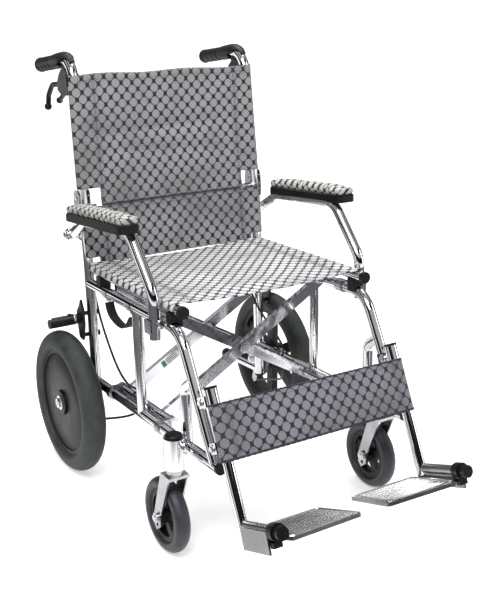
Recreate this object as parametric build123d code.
from build123d import *
import math
import os

# Transport wheelchair with a scissor-folding frame. Millimetres, +Z up, the occupant faces -Y.
# The occupant's left is +X. Side parts are drawn for the left and mirrored for the right.
# Drawn with the rear axle over y = 0, then moved so that the footprint is centred on the origin.
# "Level" coordinates are the frame before it is tipped back by FRAME_PITCH about the rear axle.

# ---------------------------------------------------------------- wheels
WHEEL_RADIUS = 158.0
WHEEL_X = 268.0
TYRE_WIDTH = 50.0
TYRE_SHOULDER = 18.0
RIM_RADIUS = 119.0
RIM_DEPTH = 9.0
RIM_WIDTH = 32.0
SPOKE_COUNT = 6
SPOKE_WIDTH = 24.0
SPOKE_THICKNESS = 16.0
HUB_RADIUS = 26.0
HUB_HALF_WIDTH = 22.0
DRUM_RADIUS = 40.0
DRUM_LENGTH = 16.0
AXLE_RADIUS = 6.0
RUNNING_CLEARANCE = 0.05
CLAMP_GAP = 0.1

CASTER_RADIUS = 75.0
CASTER_WIDTH = 30.0
CASTER_RIM_RADIUS = 52.0
CASTER_X = 246.0
CASTER_STEM_Y = -458.0
CASTER_TRAIL = 34.0
CASTER_PIN_RADIUS = 6.0
CASTER_AXLE_RADIUS = 4.0
CASTER_OPENINGS = 5
FORK_GAP = 3.0
FORK_THICKNESS = 3.5
HOUSING_RADIUS = 20.0
HOUSING_BOTTOM = 190.0
HOUSING_TOP = 252.0

# ---------------------------------------------------------------- side frame (level coordinates)
FRAME_PITCH = 2.5
SIDE_X = 212.0
TUBE_RADIUS = 11.0
TUBE_WALL = 1.6
POST_Y = -28.0
POST_FOOT_Z = 130.0
LEAN_START_Z = 480.0
CANE_LEAN = 0.0735
POST_TOP_Z = 590.0
UPPER_RAIL_Z = 425.0
LOWER_RAIL_Z = 202.0
FRONT_BEND_Y = -440.0
FRONT_FOOT_Y = -556.0
FRONT_BEND_RADIUS = 60.0
LOWER_RAIL_FRONT_Y = -569.0
MID_STRUT_Y = -260.0
FRONT_STRUT_Y = -451.0
FRONT_STRUT_BEND_Z = 318.0
FRONT_STRUT_REACH = 36.0
TIPPING_RADIUS = 9.5
TIPPING_REAR_Y = 118.0
TIPPING_DROP = 17.0
AXLE_PLATE_THICKNESS = 6.0

# ---------------------------------------------------------------- back and handles (level coordinates)
HINGE_Z = 612.0
HINGE_PIN_RADIUS = 4.0
CANE_FOOT_Z = 597.0
CHEEK_THICKNESS = 2.0
CHEEK_GAP = 0.8
CANE_TOP_X = 206.0
HANDLE_BEND_Z = 894.0
HANDLE_BEND_RADIUS = 42.0
HANDLE_SLOPE = 5.9
HANDLE_REACH = 182.0
GRIP_RADIUS = 16.0
GRIP_LENGTH = 130.0
HOOD_RADIUS = 18.0
HOOD_CUT_Z = 888.0
LEVER_PIVOT_Y = 50.0
LEVER_PIVOT_Z = 838.0

# ---------------------------------------------------------------- armrests (level coordinates)
ARM_X = 237.0
ARM_PIVOT_Y = -10.0
ARM_PIVOT_Z = 534.0
ARM_PIN_RADIUS = 5.0
ARM_LEG_Y = -388.0
ARM_LEG_FOOT_Z = 400.0
PAD_INNER_X = 226.5
PAD_WIDTH = 45.0
PAD_REAR_Y = -59.0
PAD_FRONT_Y = -331.0
PAD_REAR_Z = 574.3
PAD_RISE = 16.2
PAD_CORNER = 12.0
PAD_BASE_THICKNESS = 14.0
PAD_CUSHION_THICKNESS = 20.0

# ---------------------------------------------------------------- cross brace and seat (level coordinates)
BRACE_PIVOT_X = 190.0
BRACE_PIVOT_Z = 207.0
BRACE_SLOPE = 30.0
BRACE_DEPTH = 22.0
BRACE_BAR_WIDTH = 12.0
BRACE_WALL = 2.0
BRACE_FRONT_Y = -300.0
BRACE_REAR_Y = -141.0
BRACE_GAP = 1.5
BRACE_END_X = 199.5
PIVOT_TUBE_RADIUS = 10.0
PIVOT_TUBE_REAR_Y = -126.0
PIVOT_TUBE_FRONT_Y = -336.0
PIVOT_PIN_RADIUS = 6.0
PIVOT_PIN_LENGTH = 14.0
BRACE_BOLT_RADIUS = 4.0
SEAT_RAIL_X = 207.0
SEAT_RAIL_Z = 459.0
SEAT_RAIL_RADIUS = 10.5
SEAT_RAIL_REAR_Y = -45.0
SEAT_RAIL_FRONT_Y = -440.0
SADDLE_YS = (-92.0, -412.0)
SEAT_THICKNESS = 4.0
SEAT_REAR_Y = -52.0
SEAT_FRONT_Y = -426.0
SEAT_HALF_WIDTH = 216.0
BACK_HALF_WIDTH = 222.0
BACK_TOP_Z = 862.0
BACK_NOTCH_TOP_Z = 628.0
BACK_NOTCH_FOOT_Z = 588.0
BACK_FOOT_Z = 482.0
BACK_PANEL_HALF_WIDTH = 164.0
SLING_THICKNESS = 3.0
SLING_CLEARANCE = 0.5

# ---------------------------------------------------------------- footrests (true coordinates)
HANGER_X = 204.0
HANGER_TOP_Y = -524.0
HANGER_TOP_Z = 362.0
HANGER_ANGLE = 26.4
HANGER_RADIUS = 12.5
HANGER_LENGTH = 122.0
EXTENSION_RADIUS = 10.5
EXTENSION_TRAVEL = 60.0
EXTENSION_FOOT = 31.0
FOOT_PIVOT_DISTANCE = 245.5
FOOT_TILT = 21.4
FOOT_PIN_RADIUS = 7.0
SLEEVE_RADIUS = 10.5
SLEEVE_START = 13.0
SLEEVE_END = 105.0
PLATE_DROP = 13.6
PLATE_THICKNESS = 7.0
PLATE_REAR = -10.6
PLATE_FRONT = 116.0
PLATE_INNER = 170.0
STRAP_TOP = 28.0
STRAP_FOOT = 130.0
STRAP_HALF_WIDTH = 224.0

# ---------------------------------------------------------------- parking brake and cable (true coordinates)
BRAKE_STUD_LOW_Z = 313.0
BRAKE_STUD_HIGH_Z = 361.0
PARK_PIVOT_Y = -16.0
PARK_PIVOT_Z = 352.0
PARK_GRIP_Y = 8.0
PARK_GRIP_Z = 340.0
PARK_GRIP_RADIUS = 10.0
SHOE_Y = 34.0
SHOE_Z = 338.0
SHOE_RADIUS = 6.0
CABLE_RADIUS = 2.5

LEVEL_TURN = Axis((0, 0, WHEEL_RADIUS), (1, 0, 0))


# ---------------------------------------------------------------- helpers
def tip(shape):
    """Turn a level shape back with the frame."""
    return shape.rotate(LEVEL_TURN, -FRAME_PITCH)


def tip_point(x, y, z):
    """True place of a level point."""
    angle = math.radians(-FRAME_PITCH)
    height = z - WHEEL_RADIUS
    true_y = y * math.cos(angle) - height * math.sin(angle)
    true_z = WHEEL_RADIUS + y * math.sin(angle) + height * math.cos(angle)
    return (x, true_y, true_z)


def rod(start, end, radius):
    """Solid cylinder between two points."""
    span = Vector(*end) - Vector(*start)
    return Solid.make_cylinder(radius, span.length, Plane(origin=start, z_dir=span))


def bent_rod(points, radius, bends):
    """Round bar along straight runs joined by tangent bends."""
    path = FilletPolyline(*points, radius=bends)
    section = Plane(origin=path @ 0, z_dir=path % 0) * Circle(radius)
    return sweep(section, path=path)


def block(x0, x1, y0, y1, z0, z1):
    """Box from its limits."""
    centre = Pos((x0 + x1) / 2, (y0 + y1) / 2, (z0 + z1) / 2)
    return centre * Box(abs(x1 - x0), abs(y1 - y0), abs(z1 - z0))


def side_plate(outline, x0, x1):
    """Plate of a (y, z) outline between two x planes."""
    face = make_face(Polyline(*[(x0, y, z) for y, z in outline], close=True))
    return extrude(face, amount=x1 - x0, dir=(1, 0, 0))


def join(pieces):
    """Weld a list of shapes into one."""
    result = pieces[0]
    for piece in pieces[1:]:
        result = result + piece
    return result


def wheel_ring(outline, centre):
    """Revolve an (offset along x, radius) outline about an axle at centre."""
    x, y, z = centre
    points = [(x + across, y, z + radius) for across, radius in outline]
    face = make_face(Polyline(*points, close=True))
    return revolve(face, Axis((x, y, z), (1, 0, 0)))


def tyre(centre, radius, inner_radius, width, shoulder):
    """Tyre with a round crown."""
    x, y, z = centre
    half = width / 2
    seat = half * 0.7
    low = (x - half, y, z + radius - shoulder)
    high = (x + half, y, z + radius - shoulder)
    crown = ThreePointArc(low, (x, y, z + radius), high)
    wall = inner_radius + (radius - inner_radius - shoulder) * 0.35
    far = Polyline(high, (x + half, y, z + wall), (x + seat, y, z + inner_radius))
    near = Polyline((x - seat, y, z + inner_radius), (x - half, y, z + wall), low)
    base = Line((x + seat, y, z + inner_radius), (x - seat, y, z + inner_radius))
    face = make_face([crown, far, base, near])
    return revolve(face, Axis((x, y, z), (1, 0, 0)))


def hanger_point(distance, forward=0.0, x=HANGER_X):
    """Point at a distance down a footrest hanger, moved square to it towards the front."""
    angle = math.radians(HANGER_ANGLE)
    y = HANGER_TOP_Y - distance * math.sin(angle) - forward * math.cos(angle)
    z = HANGER_TOP_Z - distance * math.cos(angle) + forward * math.sin(angle)
    return (x, y, z)


def cane_y(z):
    """Level y of the back tube at a level height."""
    return POST_Y + max(0.0, z - LEAN_START_Z) * CANE_LEAN


FOOT_PIVOT = hanger_point(FOOT_PIVOT_DISTANCE)
FOOT_AXIS = (0, -math.cos(math.radians(FOOT_TILT)), math.sin(math.radians(FOOT_TILT)))
FOOT_PLANE = Plane(
    origin=FOOT_PIVOT,
    x_dir=(-1, 0, 0),
    z_dir=(0, math.sin(math.radians(FOOT_TILT)), math.cos(math.radians(FOOT_TILT))),
)
BRACE_CENTRE_Z = BRACE_PIVOT_Z + BRACE_PIVOT_X * math.tan(math.radians(BRACE_SLOPE))
CASTER_AXLE_Y = CASTER_STEM_Y + CASTER_TRAIL


def on_foot_axis(along):
    """Point on the footplate pivot."""
    return tuple(FOOT_PIVOT[i] + along * FOOT_AXIS[i] for i in range(3))


# ---------------------------------------------------------------- side frame
def frame_tubes(radius):
    """The welded side frame's tube runs, at a given radius."""
    strut_top = FRONT_STRUT_BEND_Z + FRONT_STRUT_REACH * 0.7
    post = [
        (SIDE_X, POST_Y, POST_FOOT_Z),
        (SIDE_X, POST_Y, LEAN_START_Z),
        (SIDE_X, cane_y(POST_TOP_Z), POST_TOP_Z),
    ]
    front = [
        (SIDE_X, POST_Y, UPPER_RAIL_Z),
        (SIDE_X, FRONT_BEND_Y, UPPER_RAIL_Z),
        (SIDE_X, FRONT_FOOT_Y, LOWER_RAIL_Z),
    ]
    strut = [
        (SIDE_X, FRONT_STRUT_Y, LOWER_RAIL_Z),
        (SIDE_X, FRONT_STRUT_Y, FRONT_STRUT_BEND_Z),
        (SIDE_X, FRONT_STRUT_Y - FRONT_STRUT_REACH, strut_top),
    ]
    lower_front = (SIDE_X, LOWER_RAIL_FRONT_Y, LOWER_RAIL_Z)
    return [
        bent_rod(post, radius, [300.0]),
        bent_rod(front, radius, [FRONT_BEND_RADIUS]),
        bent_rod(strut, radius, [22.0]),
        rod((SIDE_X, POST_Y, LOWER_RAIL_Z), lower_front, radius),
        rod((SIDE_X, MID_STRUT_Y, LOWER_RAIL_Z), (SIDE_X, MID_STRUT_Y, UPPER_RAIL_Z), radius),
    ]


def tipping_ends():
    """Ends of the tipping lever's tube."""
    start_z = WHEEL_RADIUS - TIPPING_DROP
    return (SIDE_X, POST_Y, start_z), (SIDE_X, TIPPING_REAR_Y, start_z - 10)


def make_side_frame():
    tubes = join(frame_tubes(TUBE_RADIUS))
    bores = join(frame_tubes(TUBE_RADIUS - TUBE_WALL))
    frame = tip(tubes - bores)
    housing = rod(
        (CASTER_X, CASTER_STEM_Y, HOUSING_BOTTOM), (CASTER_X, CASTER_STEM_Y, HOUSING_TOP), HOUSING_RADIUS
    )
    gusset = block(
        SIDE_X + TUBE_RADIUS - 2, CASTER_X - 12, CASTER_STEM_Y - 7, CASTER_STEM_Y + 13, 196, HOUSING_TOP - 8
    )
    pin_hole = rod(
        (CASTER_X, CASTER_STEM_Y, HOUSING_BOTTOM),
        (CASTER_X, CASTER_STEM_Y, HOUSING_TOP - 6),
        CASTER_PIN_RADIUS + RUNNING_CLEARANCE,
    )
    plate_outline = [(-22, 180), (8, 172), (15, 158), (13, 146), (-22, 143)]
    plate_x = SIDE_X - AXLE_PLATE_THICKNESS / 2
    axle_plate = side_plate(plate_outline, plate_x, plate_x + AXLE_PLATE_THICKNESS)
    tipping_start, tipping_end = tipping_ends()
    tipping = rod(tipping_start, tipping_end, TIPPING_RADIUS)
    tipping_middle = tuple((Vector(*tipping_start) + Vector(*tipping_end)) * 0.5)
    tipping_bore = rod(tipping_middle, tipping_end, TIPPING_RADIUS - TUBE_WALL)
    axle_hole = rod((plate_x - 1, 0, WHEEL_RADIUS), (plate_x + 8, 0, WHEEL_RADIUS), AXLE_RADIUS)
    lug = tip(
        side_plate(
            [(-30, 548), (-4, 546), (2, 534), (-4, 522), (-30, 520)], SIDE_X + TUBE_RADIUS - 2.5, ARM_X - 11.5
        )
    )
    pivot = tip_point(0, ARM_PIVOT_Y, ARM_PIVOT_Z)
    arm_pin = rod((ARM_X - 11.5, *pivot[1:]), (ARM_X + 11.5, *pivot[1:]), ARM_PIN_RADIUS)
    arm_head = rod((ARM_X + 10.8, *pivot[1:]), (ARM_X + 14, *pivot[1:]), 8)
    frame = join([frame, housing, gusset, axle_plate, tipping, lug, arm_pin, arm_head])
    return frame - pin_hole - axle_hole - tipping_bore


def make_frame_plugs():
    """Black end plugs, the caster housing cap and the saddles that the seat rail rests in."""
    foot = tip(
        rod((SIDE_X, POST_Y, POST_FOOT_Z - 5), (SIDE_X, POST_Y, POST_FOOT_Z - CLAMP_GAP), TUBE_RADIUS)
    )
    front = tip(
        rod(
            (SIDE_X, LOWER_RAIL_FRONT_Y - CLAMP_GAP, LOWER_RAIL_Z),
            (SIDE_X, LOWER_RAIL_FRONT_Y - 7, LOWER_RAIL_Z),
            TUBE_RADIUS,
        )
    )
    cap = rod(
        (CASTER_X, CASTER_STEM_Y, HOUSING_TOP + CLAMP_GAP),
        (CASTER_X, CASTER_STEM_Y, HOUSING_TOP + 7),
        HOUSING_RADIUS - 3,
    )
    cap = fillet(cap.edges().sort_by(Axis.Z)[-1], 5)
    start, end = tipping_ends()
    onward = (Vector(*end) - Vector(*start)).normalized()
    tipping_cap = rod(tuple(Vector(*end) + onward * CLAMP_GAP), tuple(Vector(*end) + onward * 14), 12.5)
    hanger_cap = rod(hanger_point(-CLAMP_GAP), hanger_point(-5), HANGER_RADIUS)
    pieces = [foot, front, cap, tipping_cap, hanger_cap]
    for y in SADDLE_YS:
        saddle = block(SEAT_RAIL_X - 11, SEAT_RAIL_X + 13, y - 10, y + 10, UPPER_RAIL_Z, SEAT_RAIL_Z - 6)
        rail = rod((SEAT_RAIL_X, y - 11, SEAT_RAIL_Z), (SEAT_RAIL_X, y + 11, SEAT_RAIL_Z), SEAT_RAIL_RADIUS + 0.3)
        tube = rod((SIDE_X, y - 11, UPPER_RAIL_Z), (SIDE_X, y + 11, UPPER_RAIL_Z), TUBE_RADIUS + CLAMP_GAP)
        pieces.append(tip(saddle - rail - tube))
    return pieces


def make_brace_clamps():
    """Two brackets on the lower rail, each with a pin for the brace's pivot tube."""
    pieces = []
    for end, away in ((PIVOT_TUBE_REAR_Y, 1), (PIVOT_TUBE_FRONT_Y, -1)):
        near = end + away * 1.0
        far = end + away * 15.0
        low, high = min(near, far), max(near, far)
        arm = block(BRACE_PIVOT_X, SIDE_X, low, high, LOWER_RAIL_Z - 12, LOWER_RAIL_Z + 14)
        eye = rod((BRACE_PIVOT_X, low, BRACE_PIVOT_Z), (BRACE_PIVOT_X, high, BRACE_PIVOT_Z), 12)
        collar = rod((SIDE_X, low, LOWER_RAIL_Z), (SIDE_X, high, LOWER_RAIL_Z), 14.5)
        rail = rod((SIDE_X, low, LOWER_RAIL_Z), (SIDE_X, high, LOWER_RAIL_Z), TUBE_RADIUS + CLAMP_GAP)
        pin_end = end - away * PIVOT_PIN_LENGTH
        pin = rod((BRACE_PIVOT_X, near, BRACE_PIVOT_Z), (BRACE_PIVOT_X, pin_end, BRACE_PIVOT_Z), PIVOT_PIN_RADIUS)
        pieces.append(tip(join([arm, eye, collar]) - rail + pin))
    return pieces


def make_back_hinge():
    """Cheeks, pivot pin and pull knob of the folding back, fixed to the post."""
    outline = [(-30, 566), (-6, 566), (-2, 606), (-4, 620), (-12, 626), (-24, 625), (-29, 616)]
    inner = SIDE_X - TUBE_RADIUS - CHEEK_GAP
    outer = SIDE_X + TUBE_RADIUS + CHEEK_GAP
    near = side_plate(outline, inner - CHEEK_THICKNESS, inner)
    far = side_plate(outline, outer, outer + CHEEK_THICKNESS)
    y = cane_y(HINGE_Z)
    pin = rod((inner - CHEEK_THICKNESS - 2, y, HINGE_Z), (outer + CHEEK_THICKNESS, y, HINGE_Z), HINGE_PIN_RADIUS)
    rivet_y = cane_y(576)
    rivet = rod((inner - CHEEK_THICKNESS - 1, rivet_y, 576), (outer + CHEEK_THICKNESS, rivet_y, 576), 3)
    post = rod((SIDE_X, cane_y(560), 560), (SIDE_X, cane_y(POST_TOP_Z), POST_TOP_Z), TUBE_RADIUS + CLAMP_GAP)
    knob = rod((inner - CHEEK_THICKNESS - 14, -20, 590), (inner - CHEEK_THICKNESS, -20, 590), 7)
    return [tip(join([near, far, pin, knob, rivet - post]))]


# ---------------------------------------------------------------- rear wheel and brake
def make_rear_tyre():
    return tyre((WHEEL_X, 0, WHEEL_RADIUS), WHEEL_RADIUS, RIM_RADIUS, TYRE_WIDTH, TYRE_SHOULDER)


def make_rear_rim():
    centre = (WHEEL_X, 0, WHEEL_RADIUS)
    half = RIM_WIDTH / 2
    inner = RIM_RADIUS - RIM_DEPTH
    outline = [(-half, inner), (half, inner), (half, RIM_RADIUS), (-half, RIM_RADIUS)]
    pieces = [wheel_ring(outline, centre)]
    for index in range(SPOKE_COUNT):
        spoke = block(
            WHEEL_X - SPOKE_THICKNESS / 2,
            WHEEL_X + SPOKE_THICKNESS / 2,
            -SPOKE_WIDTH / 2,
            SPOKE_WIDTH / 2,
            WHEEL_RADIUS + HUB_RADIUS - 4,
            WHEEL_RADIUS + inner + 3,
        )
        pieces.append(spoke.rotate(Axis(centre, (1, 0, 0)), index * 360 / SPOKE_COUNT))
    hub_start = WHEEL_X - HUB_HALF_WIDTH
    pieces.append(rod((hub_start, 0, WHEEL_RADIUS), (WHEEL_X + HUB_HALF_WIDTH, 0, WHEEL_RADIUS), HUB_RADIUS))
    pieces.append(rod((hub_start - DRUM_LENGTH, 0, WHEEL_RADIUS), (hub_start, 0, WHEEL_RADIUS), DRUM_RADIUS))
    bore = rod(
        (hub_start - DRUM_LENGTH - 1, 0, WHEEL_RADIUS),
        (WHEEL_X + HUB_HALF_WIDTH + 1, 0, WHEEL_RADIUS),
        AXLE_RADIUS + RUNNING_CLEARANCE,
    )
    return join(pieces) - bore


def make_band_brake():
    """Axle bolt with its nuts, the brake's cover and the arm that the cable pulls."""
    drum_face = WHEEL_X - HUB_HALF_WIDTH - DRUM_LENGTH
    cover = rod((drum_face - 6, 0, WHEEL_RADIUS), (drum_face - 1, 0, WHEEL_RADIUS), DRUM_RADIUS + 5)
    spacer = rod((SIDE_X + AXLE_PLATE_THICKNESS / 2, 0, WHEEL_RADIUS), (drum_face - 5, 0, WHEEL_RADIUS), 8)
    axle = rod((SIDE_X - 12, 0, WHEEL_RADIUS), (WHEEL_X + HUB_HALF_WIDTH + 8, 0, WHEEL_RADIUS), AXLE_RADIUS)
    inner_nut_end = SIDE_X - AXLE_PLATE_THICKNESS / 2
    inner_nut = rod((inner_nut_end - 7, 0, WHEEL_RADIUS), (inner_nut_end, 0, WHEEL_RADIUS), 7.5)
    outer_start = WHEEL_X + HUB_HALF_WIDTH + 0.8
    outer_nut = rod((outer_start, 0, WHEEL_RADIUS), (outer_start + 6, 0, WHEEL_RADIUS), 10)
    arm = side_plate([(-10, 140), (12, 140), (21, 98), (13, 90), (2, 97)], drum_face - 8, drum_face - 4)
    return join([cover, spacer, axle, inner_nut, outer_nut, arm])


# ---------------------------------------------------------------- caster
def make_caster_fork():
    half = CASTER_WIDTH / 2 + FORK_GAP
    outline = [
        (CASTER_STEM_Y - 18, 178),
        (CASTER_STEM_Y + 16, 178),
        (CASTER_AXLE_Y + 13, CASTER_RADIUS + 6),
        (CASTER_AXLE_Y + 14, CASTER_RADIUS - 19),
        (CASTER_AXLE_Y + 4, CASTER_RADIUS - 29),
        (CASTER_AXLE_Y - 12, CASTER_RADIUS - 16),
        (CASTER_AXLE_Y - 13, CASTER_RADIUS + 6),
    ]
    pieces = []
    for start in (CASTER_X - half - FORK_THICKNESS, CASTER_X + half):
        pieces.append(side_plate(outline, start, start + FORK_THICKNESS))
    outer = half + FORK_THICKNESS
    pieces.append(
        block(CASTER_X - outer, CASTER_X + outer, CASTER_STEM_Y - 18, CASTER_STEM_Y + 16, 172, 178)
    )
    pieces.append(rod((CASTER_X, CASTER_STEM_Y, 177), (CASTER_X, CASTER_STEM_Y, HOUSING_BOTTOM - 1), 17))
    pieces.append(rod((CASTER_X, CASTER_STEM_Y, 177), (CASTER_X, CASTER_STEM_Y, HOUSING_TOP - 10), CASTER_PIN_RADIUS))
    axle_start = (CASTER_X - outer - 4, CASTER_AXLE_Y, CASTER_RADIUS)
    axle_end = (CASTER_X + outer + 4, CASTER_AXLE_Y, CASTER_RADIUS)
    pieces.append(rod(axle_start, axle_end, CASTER_AXLE_RADIUS))
    pieces.append(rod(axle_start, (CASTER_X - outer, CASTER_AXLE_Y, CASTER_RADIUS), 7))
    pieces.append(rod((CASTER_X + outer, CASTER_AXLE_Y, CASTER_RADIUS), axle_end, 7))
    second_hole = rod(
        (CASTER_X - outer - 1, CASTER_AXLE_Y + 1, CASTER_RADIUS - 16),
        (CASTER_X + outer + 1, CASTER_AXLE_Y + 1, CASTER_RADIUS - 16),
        CASTER_AXLE_RADIUS,
    )
    return join(pieces) - second_hole


def make_caster_tyre():
    return tyre((CASTER_X, CASTER_AXLE_Y, CASTER_RADIUS), CASTER_RADIUS, CASTER_RIM_RADIUS, CASTER_WIDTH, 9)


def make_caster_hub():
    centre = (CASTER_X, CASTER_AXLE_Y, CASTER_RADIUS)
    outline = [(-10, 42), (10, 42), (10, CASTER_RIM_RADIUS), (-10, CASTER_RIM_RADIUS)]
    hub_half = CASTER_WIDTH / 2 + FORK_GAP - 1
    pieces = [wheel_ring(outline, centre)]
    for index in range(CASTER_OPENINGS):
        spoke = block(CASTER_X - 6, CASTER_X + 6, CASTER_AXLE_Y - 8, CASTER_AXLE_Y + 8, 87, 119)
        pieces.append(spoke.rotate(Axis(centre, (1, 0, 0)), index * 360 / CASTER_OPENINGS))
    start = (CASTER_X - hub_half, CASTER_AXLE_Y, CASTER_RADIUS)
    end = (CASTER_X + hub_half, CASTER_AXLE_Y, CASTER_RADIUS)
    pieces.append(rod(start, end, 15))
    return join(pieces) - rod(start, end, CASTER_AXLE_RADIUS + RUNNING_CLEARANCE)


# ---------------------------------------------------------------- back tubes, grips and hand brakes
def handle_points():
    slope = math.radians(HANDLE_SLOPE)
    bend_y = cane_y(HANDLE_BEND_Z)
    foot = (SIDE_X, cane_y(CANE_FOOT_Z), CANE_FOOT_Z)
    bend = (CANE_TOP_X, bend_y, HANDLE_BEND_Z)
    end = (CANE_TOP_X, bend_y + HANDLE_REACH * math.cos(slope), HANDLE_BEND_Z - HANDLE_REACH * math.sin(slope))
    return foot, bend, end


def along_handle(distance):
    """Level point on the handle, measured back from its rear end."""
    slope = math.radians(HANDLE_SLOPE)
    end = handle_points()[2]
    return (CANE_TOP_X, end[1] - distance * math.cos(slope), end[2] + distance * math.sin(slope))


def cane_bar(radius):
    """The back tube and its handle as a solid bar."""
    return bent_rod(list(handle_points()), radius, [HANDLE_BEND_RADIUS])


def make_upper_cane():
    tube = cane_bar(TUBE_RADIUS)
    bore = cane_bar(TUBE_RADIUS - TUBE_WALL)
    y = cane_y(HINGE_Z)
    eye = rod((SIDE_X - TUBE_RADIUS + 1, y, HINGE_Z), (SIDE_X + TUBE_RADIUS - 1, y, HINGE_Z), HINGE_PIN_RADIUS + 2)
    hole = rod((SIDE_X - 20, y, HINGE_Z), (SIDE_X + 20, y, HINGE_Z), HINGE_PIN_RADIUS + RUNNING_CLEARANCE)
    return tip(tube - bore + eye - hole)


def make_hand_grip():
    """Rubber grip with a hood that reaches over the tube's bend."""
    end = along_handle(-4)
    grip = rod(end, along_handle(GRIP_LENGTH), GRIP_RADIUS)
    tube = rod(along_handle(0), along_handle(GRIP_LENGTH + 1), TUBE_RADIUS + CLAMP_GAP)
    bend = handle_points()[1]
    start = (CANE_TOP_X + 1.0, cane_y(HANDLE_BEND_Z - 60), HANDLE_BEND_Z - 60)
    route = [start, bend, along_handle(GRIP_LENGTH - 50)]
    shell = bent_rod(route, HOOD_RADIUS, [HANDLE_BEND_RADIUS])
    core = bent_rod(route, TUBE_RADIUS + 1.5, [HANDLE_BEND_RADIUS])
    below = block(CANE_TOP_X - 30, CANE_TOP_X + 30, -60, 200, 700, HOOD_CUT_Z)
    hood = shell - core - below
    return tip(join([grip - tube, hood - rod(along_handle(0), along_handle(GRIP_LENGTH), GRIP_RADIUS - 2)]))


def make_brake_lever_bracket():
    """Clamp and body of the hand brake, with its parking stub."""
    x = CANE_TOP_X + 1
    outline = [(4, 866), (20, 873), (38, 872), (53, 860), (63, 846), (64, 828), (40, 817), (14, 820), (4, 832)]
    body = side_plate(outline, x - 11, x + 11)
    collar = rod((x, cane_y(838) + 5, 838), (x, cane_y(862) + 6, 862), 15)
    collar = collar - block(x - 30, x + 30, -60, cane_y(850) - 8, 700, 900)
    cane = cane_bar(TUBE_RADIUS + CLAMP_GAP)
    slot = block(x - 4.5, x + 4.5, LEVER_PIVOT_Y - 9, 90, 800, 900)
    slot = slot - block(x - 5, x + 5, -50, 100, 700, LEVER_PIVOT_Z - 9)
    pin = rod((x - 8, LEVER_PIVOT_Y, LEVER_PIVOT_Z), (x + 8, LEVER_PIVOT_Y, LEVER_PIVOT_Z), 3)
    stub = rod((x, 44, 826), (x, 82, 806), 5)
    ball = Pos(x, 84, 805) * Sphere(7)
    return tip(join([join([body, collar]) - cane - slot, pin, stub, ball]))


def make_brake_lever():
    x = CANE_TOP_X + 1
    eye = rod((x - 3.5, LEVER_PIVOT_Y, LEVER_PIVOT_Z), (x + 3.5, LEVER_PIVOT_Y, LEVER_PIVOT_Z), 7.5)
    arm = side_plate(
        [(LEVER_PIVOT_Y, LEVER_PIVOT_Z - 6), (LEVER_PIVOT_Y + 30, 833), (LEVER_PIVOT_Y + 30, 845), (50, 845)],
        x - 3.5,
        x + 3.5,
    )
    blade = bent_rod([(x, 74, 839), (x, 120, 836), (x, 147, 812), (x, 153, 790)], 5.5, [26.0, 16.0])
    ball = Pos(x, 155, 787) * Sphere(8)
    hole = rod((x - 9, LEVER_PIVOT_Y, LEVER_PIVOT_Z), (x + 9, LEVER_PIVOT_Y, LEVER_PIVOT_Z), 3 + RUNNING_CLEARANCE)
    return tip(join([eye, arm, blade, ball]) - hole)


# ---------------------------------------------------------------- armrest
def arm_route():
    return [
        (ARM_X, ARM_PIVOT_Y, ARM_PIVOT_Z),
        (ARM_X, -80, 572),
        (ARM_X, -300, 587),
        (ARM_X, ARM_LEG_Y, 485),
        (ARM_X, ARM_LEG_Y, ARM_LEG_FOOT_Z),
    ]


ARM_BENDS = [60.0, 48.0, 50.0]


def make_armrest_tube():
    outer = bent_rod(arm_route(), TUBE_RADIUS, ARM_BENDS)
    inner = bent_rod(arm_route(), TUBE_RADIUS - TUBE_WALL, ARM_BENDS)
    start = (ARM_X - 10.6, ARM_PIVOT_Y, ARM_PIVOT_Z)
    end = (ARM_X + 10.4, ARM_PIVOT_Y, ARM_PIVOT_Z)
    eye = rod(start, end, 12)
    hole = rod(
        (ARM_X - 20, ARM_PIVOT_Y, ARM_PIVOT_Z), (ARM_X + 20, ARM_PIVOT_Y, ARM_PIVOT_Z), ARM_PIN_RADIUS + RUNNING_CLEARANCE
    )
    trim = block(ARM_X - 20, ARM_X - 10.6, -60, 30, 500, 560) + block(ARM_X + 10.4, ARM_X + 20, -60, 30, 500, 560)
    return tip(outer - inner + eye - hole - trim)


def pad_outline(low, high):
    """Outline between two heights over the pad's underside."""
    return [
        (PAD_REAR_Y, PAD_REAR_Z + low),
        (PAD_FRONT_Y, PAD_REAR_Z + PAD_RISE + low),
        (PAD_FRONT_Y, PAD_REAR_Z + PAD_RISE + high),
        (PAD_REAR_Y, PAD_REAR_Z + high),
    ]


def make_armrest_base():
    base = side_plate(pad_outline(0, PAD_BASE_THICKNESS), PAD_INNER_X, PAD_INNER_X + PAD_WIDTH)
    base = fillet(base.edges().filter_by(Axis.Z), PAD_CORNER)
    tube = bent_rod(arm_route(), TUBE_RADIUS + CLAMP_GAP, ARM_BENDS)
    return tip(base - tube)


def make_armrest_cushion():
    height = PAD_BASE_THICKNESS + PAD_CUSHION_THICKNESS
    cushion = side_plate(pad_outline(PAD_BASE_THICKNESS, height), PAD_INNER_X, PAD_INNER_X + PAD_WIDTH)
    top = cushion.faces().sort_by(Axis.Z)[-1]
    return tip(fillet(top.edges(), 9))


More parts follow.
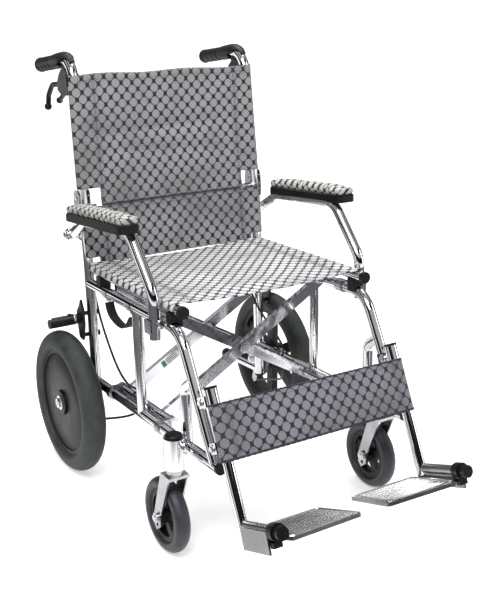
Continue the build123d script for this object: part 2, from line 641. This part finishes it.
def make_armrest_receiver():
    """Open-fronted clip on the upper rail that the armrest's leg drops into."""
    collar = rod((SIDE_X, -374, UPPER_RAIL_Z), (SIDE_X, -352, UPPER_RAIL_Z), 13.5)
    rear_face = ARM_LEG_Y + TUBE_RADIUS + 0.4
    back_wall = block(SIDE_X + 2, ARM_X + 14.4, rear_face, rear_face + 4, 412, 438)
    outer_wall = block(ARM_X + 11.4, ARM_X + 14.4, ARM_LEG_Y - 6, rear_face + 4, 412, 438)
    rail = rod((SIDE_X, -400, UPPER_RAIL_Z), (SIDE_X, -340, UPPER_RAIL_Z), TUBE_RADIUS + CLAMP_GAP)
    return tip(join([collar, back_wall, outer_wall]) - rail)


# ---------------------------------------------------------------- footrests
def front_tube_solid():
    bend_top = (SIDE_X, FRONT_BEND_Y, UPPER_RAIL_Z)
    foot = (SIDE_X, FRONT_FOOT_Y, LOWER_RAIL_Z)
    return tip(rod(bend_top, foot, TUBE_RADIUS + CLAMP_GAP))


def make_footrest_hanger():
    outer = rod(hanger_point(0), hanger_point(HANGER_LENGTH), HANGER_RADIUS)
    tube_core = rod(hanger_point(6), hanger_point(HANGER_LENGTH + 1), EXTENSION_RADIUS + RUNNING_CLEARANCE)
    pieces = [outer - tube_core]
    for start, reach in ((10.0, 42.0), (94.0, 36.0)):
        corners = [
            hanger_point(start, -4),
            hanger_point(start + 20, -4),
            hanger_point(start + 20, -reach),
            hanger_point(start, -reach),
        ]
        bracket = side_plate([(y, z) for x, y, z in corners], HANGER_X - 7, HANGER_X + 15)
        bracket = bracket - front_tube_solid() - outer
        centre = hanger_point(start + 10, -reach / 2)
        bolt = rod((HANGER_X - 11, *centre[1:]), (HANGER_X - 7, *centre[1:]), 6)
        pieces.append(bracket + bolt)
    return join(pieces)


def make_footrest_extension():
    top = EXTENSION_TRAVEL + 14
    foot = hanger_point(FOOT_PIVOT_DISTANCE + EXTENSION_FOOT)
    outer = rod(hanger_point(top), foot, EXTENSION_RADIUS)
    inner = rod(hanger_point(top), hanger_point(FOOT_PIVOT_DISTANCE + 20), EXTENSION_RADIUS - TUBE_WALL)
    pin = rod(FOOT_PIVOT, on_foot_axis(SLEEVE_END - 1), FOOT_PIN_RADIUS)
    return join([outer - inner, pin])


def make_footplate():
    """Ribbed tread on a sleeve that turns about the footrest's forward pin."""
    outline = [
        (14, PLATE_REAR),
        (PLATE_INNER - 4, PLATE_REAR),
        (PLATE_INNER + 6, PLATE_FRONT),
        (24, PLATE_FRONT + 8),
        (20, SLEEVE_END),
        (-12, SLEEVE_END),
        (-12, SLEEVE_START + 3),
        (14, SLEEVE_START + 3),
    ]
    face = make_face(Polyline(*outline, close=True))
    plate = Pos(0, 0, -PLATE_DROP - PLATE_THICKNESS) * extrude(face, amount=PLATE_THICKNESS)
    plate = fillet(plate.edges().filter_by(Axis.Z).group_by(Axis.X)[-1], 9)
    length = SLEEVE_END - SLEEVE_START
    middle = SLEEVE_START + length / 2
    web = Pos(0, middle + 1.5, -PLATE_DROP / 2 - 3) * Box(16, length - 3, PLATE_DROP - 6)
    cheek = Pos(-13, middle + 1.5, -17) * Box(4, length - 3, 40)
    body = FOOT_PLANE * join([plate, web, cheek])
    sleeve = rod(on_foot_axis(SLEEVE_START), on_foot_axis(SLEEVE_END), SLEEVE_RADIUS)
    hole = rod(on_foot_axis(0), on_foot_axis(SLEEVE_END + 5), FOOT_PIN_RADIUS + RUNNING_CLEARANCE)
    return join([body, sleeve]) - hole


def make_footplate_caps():
    """Black end cap, its knob and the bumper under it."""
    cap = rod(on_foot_axis(SLEEVE_END + 0.5), on_foot_axis(SLEEVE_END + 16), 16)
    knob = rod(on_foot_axis(SLEEVE_END + 16), on_foot_axis(SLEEVE_END + 31), 12)
    bumper = FOOT_PLANE * (Pos(-2, SLEEVE_END + 6, -21) * Box(18, 11, 9.6))
    return [join([cap, knob]), bumper]


# ---------------------------------------------------------------- cross brace
def brace_bar(y):
    """One bar, from the left pivot up to the right seat rail, before it is trimmed."""
    span = 470.0
    bar = Box(span, BRACE_BAR_WIDTH, BRACE_DEPTH) - Box(
        span + 2, BRACE_BAR_WIDTH - 2 * BRACE_WALL, BRACE_DEPTH - 2 * BRACE_WALL
    )
    bar = Pos(0, y, BRACE_CENTRE_Z) * Rot(0, BRACE_SLOPE, 0) * bar
    inside = block(-BRACE_END_X, BRACE_PIVOT_X, -700, 0, 0, 700)
    return bar & inside


def make_brace(offset, with_bolts):
    """Brace from the left pivot tube to the right seat rail, its bars moved by offset along y."""
    low = (BRACE_PIVOT_X, PIVOT_TUBE_REAR_Y, BRACE_PIVOT_Z)
    high = (BRACE_PIVOT_X, PIVOT_TUBE_FRONT_Y, BRACE_PIVOT_Z)
    pivot_tube = rod(low, high, PIVOT_TUBE_RADIUS)
    bore = rod(low, high, PIVOT_PIN_RADIUS + RUNNING_CLEARANCE)
    rail_rear = (-SEAT_RAIL_X, SEAT_RAIL_REAR_Y, SEAT_RAIL_Z)
    rail_front = (-SEAT_RAIL_X, SEAT_RAIL_FRONT_Y, SEAT_RAIL_Z)
    rail = rod(rail_rear, rail_front, SEAT_RAIL_RADIUS)
    rail_bore = rod(rail_rear, rail_front, SEAT_RAIL_RADIUS - TUBE_WALL)
    pieces = []
    for y in (BRACE_FRONT_Y + offset, BRACE_REAR_Y + offset):
        pieces.append(brace_bar(y))
        half = BRACE_BAR_WIDTH / 2
        pieces.append(block(-BRACE_END_X, -BRACE_END_X + 14, y - half, y + half, 424, SEAT_RAIL_Z))
    frame = join([pivot_tube, rail] + pieces) - bore - rail_bore
    for y in (BRACE_FRONT_Y, BRACE_REAR_Y):
        if with_bolts:
            bolt = rod((0, y - 17.5, BRACE_CENTRE_Z), (0, y + 20, BRACE_CENTRE_Z), BRACE_BOLT_RADIUS)
            head = rod((0, y - 17.5, BRACE_CENTRE_Z), (0, y - 12.5, BRACE_CENTRE_Z), 8)
            nut = rod((0, y + 13.2, BRACE_CENTRE_Z), (0, y + 20, BRACE_CENTRE_Z), 7)
            frame = join([frame, bolt, head, nut])
        else:
            hole = rod((0, y - 30, BRACE_CENTRE_Z), (0, y + 30, BRACE_CENTRE_Z), BRACE_BOLT_RADIUS + RUNNING_CLEARANCE)
            frame = frame - hole
    return tip(frame)


def make_rail_cap():
    start = (SEAT_RAIL_X, SEAT_RAIL_FRONT_Y - CLAMP_GAP, SEAT_RAIL_Z)
    cap = rod(start, (SEAT_RAIL_X, SEAT_RAIL_FRONT_Y - 8, SEAT_RAIL_Z), SEAT_RAIL_RADIUS + 1.5)
    rear_start = (SEAT_RAIL_X, SEAT_RAIL_REAR_Y + CLAMP_GAP, SEAT_RAIL_Z)
    rear = rod(rear_start, (SEAT_RAIL_X, SEAT_RAIL_REAR_Y + 3, SEAT_RAIL_Z), SEAT_RAIL_RADIUS)
    return [tip(cap), tip(rear)]


# ---------------------------------------------------------------- soft pieces
def make_seat_sling():
    low = SEAT_RAIL_Z + SEAT_RAIL_RADIUS + SLING_CLEARANCE
    return tip(block(-SEAT_HALF_WIDTH, SEAT_HALF_WIDTH, SEAT_FRONT_Y, SEAT_REAR_Y, low, low + SEAT_THICKNESS))


def back_outline(low, high):
    """Outline of a sling panel in front of the back tubes, between two heights."""
    near = TUBE_RADIUS + SLING_CLEARANCE
    far = near + SLING_THICKNESS
    return [
        (cane_y(low) - near, low),
        (cane_y(high) - near, high),
        (cane_y(high) - far, high),
        (cane_y(low) - far, low),
    ]


def make_back_sling_upper():
    wide = side_plate(back_outline(BACK_NOTCH_TOP_Z, BACK_TOP_Z), -BACK_HALF_WIDTH, BACK_HALF_WIDTH)
    tongue = side_plate(
        back_outline(BACK_NOTCH_FOOT_Z + 4, BACK_NOTCH_TOP_Z), -BACK_PANEL_HALF_WIDTH, BACK_PANEL_HALF_WIDTH
    )
    return tip(wide + tongue)


def make_back_sling_lower():
    return tip(side_plate(back_outline(BACK_FOOT_Z, BACK_NOTCH_FOOT_Z), -BACK_HALF_WIDTH, BACK_HALF_WIDTH))


def make_calf_strap():
    near = HANGER_RADIUS + SLING_CLEARANCE
    far = near + SLING_THICKNESS
    corners = [
        hanger_point(STRAP_TOP, near),
        hanger_point(STRAP_FOOT, near),
        hanger_point(STRAP_FOOT, far),
        hanger_point(STRAP_TOP, far),
    ]
    return side_plate([(y, z) for x, y, z in corners], -STRAP_HALF_WIDTH, STRAP_HALF_WIDTH)


def make_folding_strap():
    """Webbing band slung under the right upper rail from a bolted tab."""
    low = UPPER_RAIL_Z - TUBE_RADIUS
    route = [(-SIDE_X, -126, low - 8), (-SIDE_X, -140, low - 36), (-SIDE_X, -200, low - 44), (-SIDE_X, -240, low - 14)]
    path = FilletPolyline(*route, radius=[14.0, 40.0])
    section = Plane(origin=path @ 0, x_dir=(1, 0, 0), z_dir=path % 0) * Rectangle(20, 3)
    band = sweep(section, path=path)
    tabs = []
    for y in (-126, -240):
        tabs.append(block(-SIDE_X - 10, -SIDE_X + 10, y - 7, y + 7, low - 16, low + 2))
    rail = rod((-SIDE_X, -400, UPPER_RAIL_Z), (-SIDE_X, -60, UPPER_RAIL_Z), TUBE_RADIUS + CLAMP_GAP)
    return tip(join([band] + tabs) - rail)


# ---------------------------------------------------------------- parking brake and brake cable
def make_parking_brake_base():
    """Two studs through the rear post and the body that they hold beside the tyre."""
    pieces = []
    for z in (BRAKE_STUD_LOW_Z, BRAKE_STUD_HIGH_Z):
        y = tip_point(0, POST_Y, z)[1]
        start = SIDE_X + TUBE_RADIUS
        pieces.append(rod((start - 0.5, y, z), (start + 14, y, z), 4.5))
        pieces.append(rod((SIDE_X - TUBE_RADIUS - 3, y, z), (SIDE_X - TUBE_RADIUS + 0.5, y, z), 6.5))
    outline = [(-34, 372), (-22, 394), (-12, 376), (0, 364), (-2, 338), (-10, 306), (-28, 304), (-36, 340)]
    pieces.append(side_plate(outline, SIDE_X + TUBE_RADIUS + 12, SIDE_X + TUBE_RADIUS + 17))
    pieces.append(
        rod(
            (SIDE_X + TUBE_RADIUS + 16, PARK_PIVOT_Y, PARK_PIVOT_Z),
            (SIDE_X + TUBE_RADIUS + 27, PARK_PIVOT_Y, PARK_PIVOT_Z),
            4,
        )
    )
    post = tip(rod((SIDE_X, POST_Y, POST_FOOT_Z), (SIDE_X, POST_Y, LEAN_START_Z), TUBE_RADIUS + CLAMP_GAP))
    return join(pieces) - post


def make_parking_lever():
    """Lever plate with its sideways grip and the bar that presses on the tyre."""
    start = SIDE_X + TUBE_RADIUS + 18
    outline = [(-25, 356), (-16, 362), (8, 352), (38, 346), (42, 336), (34, 329), (6, 330), (-22, 344)]
    plate = side_plate(outline, start, start + 6)
    grip = rod((start + 4, PARK_GRIP_Y, PARK_GRIP_Z), (WHEEL_X + 33, PARK_GRIP_Y, PARK_GRIP_Z), PARK_GRIP_RADIUS)
    shoe = rod((start + 4, SHOE_Y, SHOE_Z), (WHEEL_X + 16, SHOE_Y, SHOE_Z), SHOE_RADIUS)
    hole = rod((start - 1, PARK_PIVOT_Y, PARK_PIVOT_Z), (start + 8, PARK_PIVOT_Y, PARK_PIVOT_Z), 4 + RUNNING_CLEARANCE)
    return join([plate, grip, shoe]) - hole


CABLE_ROUTE = [
    (206, 50, 812),
    (206, 39, 760),
    (206, 25, 640),
    (206, 11, 545),
    (206, 1, 470),
    (197, -3, 395),
    (191, -23, 322),
    (205.5, -151, 240),
    (174, -180, 224),
    (177, -184, 186),
    (194, -148, 158),
    (221, -44, 118),
    (224, -1.2, 100),
]


def cable_bends(points):
    """Radius of each corner: as large as the two runs beside it allow."""
    vectors = [Vector(*point) for point in points]
    bends = []
    for before, corner, after in zip(vectors, vectors[1:], vectors[2:]):
        turn = (corner - before).get_angle(after - corner)
        shorter = min((corner - before).length, (after - corner).length)
        bends.append(0.45 * shorter / math.tan(math.radians(turn) / 2))
    return bends


def make_brake_cable():
    return bent_rod(CABLE_ROUTE, CABLE_RADIUS, cable_bends(CABLE_ROUTE))


# ---------------------------------------------------------------- assembly
SIDE_PARTS = {
    "side_frame": make_side_frame,
    "frame_plugs": make_frame_plugs,
    "brace_clamps": make_brace_clamps,
    "back_hinge": make_back_hinge,
    "rear_tyre": make_rear_tyre,
    "rear_rim": make_rear_rim,
    "band_brake": make_band_brake,
    "caster_fork": make_caster_fork,
    "caster_tyre": make_caster_tyre,
    "caster_hub": make_caster_hub,
    "upper_cane": make_upper_cane,
    "hand_grip": make_hand_grip,
    "brake_lever_bracket": make_brake_lever_bracket,
    "brake_lever": make_brake_lever,
    "armrest_tube": make_armrest_tube,
    "armrest_base": make_armrest_base,
    "armrest_cushion": make_armrest_cushion,
    "armrest_receiver": make_armrest_receiver,
    "footrest_hanger": make_footrest_hanger,
    "footrest_extension": make_footrest_extension,
    "footplate": make_footplate,
    "footplate_caps": make_footplate_caps,
    "rail_cap": make_rail_cap,
    "parking_brake_base": make_parking_brake_base,
    "parking_lever": make_parking_lever,
    "brake_cable": make_brake_cable,
}


def as_compound(result):
    """One shape from a shape or a list of separate shapes."""
    if isinstance(result, list):
        solids = [solid for piece in result for solid in piece.solids()]
        return Compound(children=solids)
    return result


def build():
    nodes = {}
    for name, maker in SIDE_PARTS.items():
        shape = as_compound(maker())
        nodes[name + "_left"] = shape
        nodes[name + "_right"] = mirror(shape, about=Plane.YZ)
    offset = (BRACE_BAR_WIDTH + BRACE_GAP) / 2
    nodes["brace_a"] = make_brace(offset, False)
    nodes["brace_b"] = mirror(make_brace(-offset, True), about=Plane.YZ)
    nodes["seat_sling"] = make_seat_sling()
    nodes["back_sling_upper"] = make_back_sling_upper()
    nodes["back_sling_lower"] = make_back_sling_lower()
    nodes["calf_strap"] = make_calf_strap()
    nodes["folding_strap"] = make_folding_strap()
    return nodes


def footprint_shift(nodes):
    """Move along y that centres the whole part."""
    low = min(shape.bounding_box().min.Y for shape in nodes.values())
    high = max(shape.bounding_box().max.Y for shape in nodes.values())
    return -(low + high) / 2


def main():
    nodes = build()
    shift = footprint_shift(nodes)
    os.makedirs("parts", exist_ok=True)
    for name, shape in nodes.items():
        export_step(Pos(0, shift, 0) * shape, f"parts/{name}.step")
    bends = cable_bends(CABLE_ROUTE)
    print("cable bend radii", [round(bend, 1) for bend in bends])
    print("rear axle at y =", round(shift, 3))


if __name__ == "__main__":
    main()
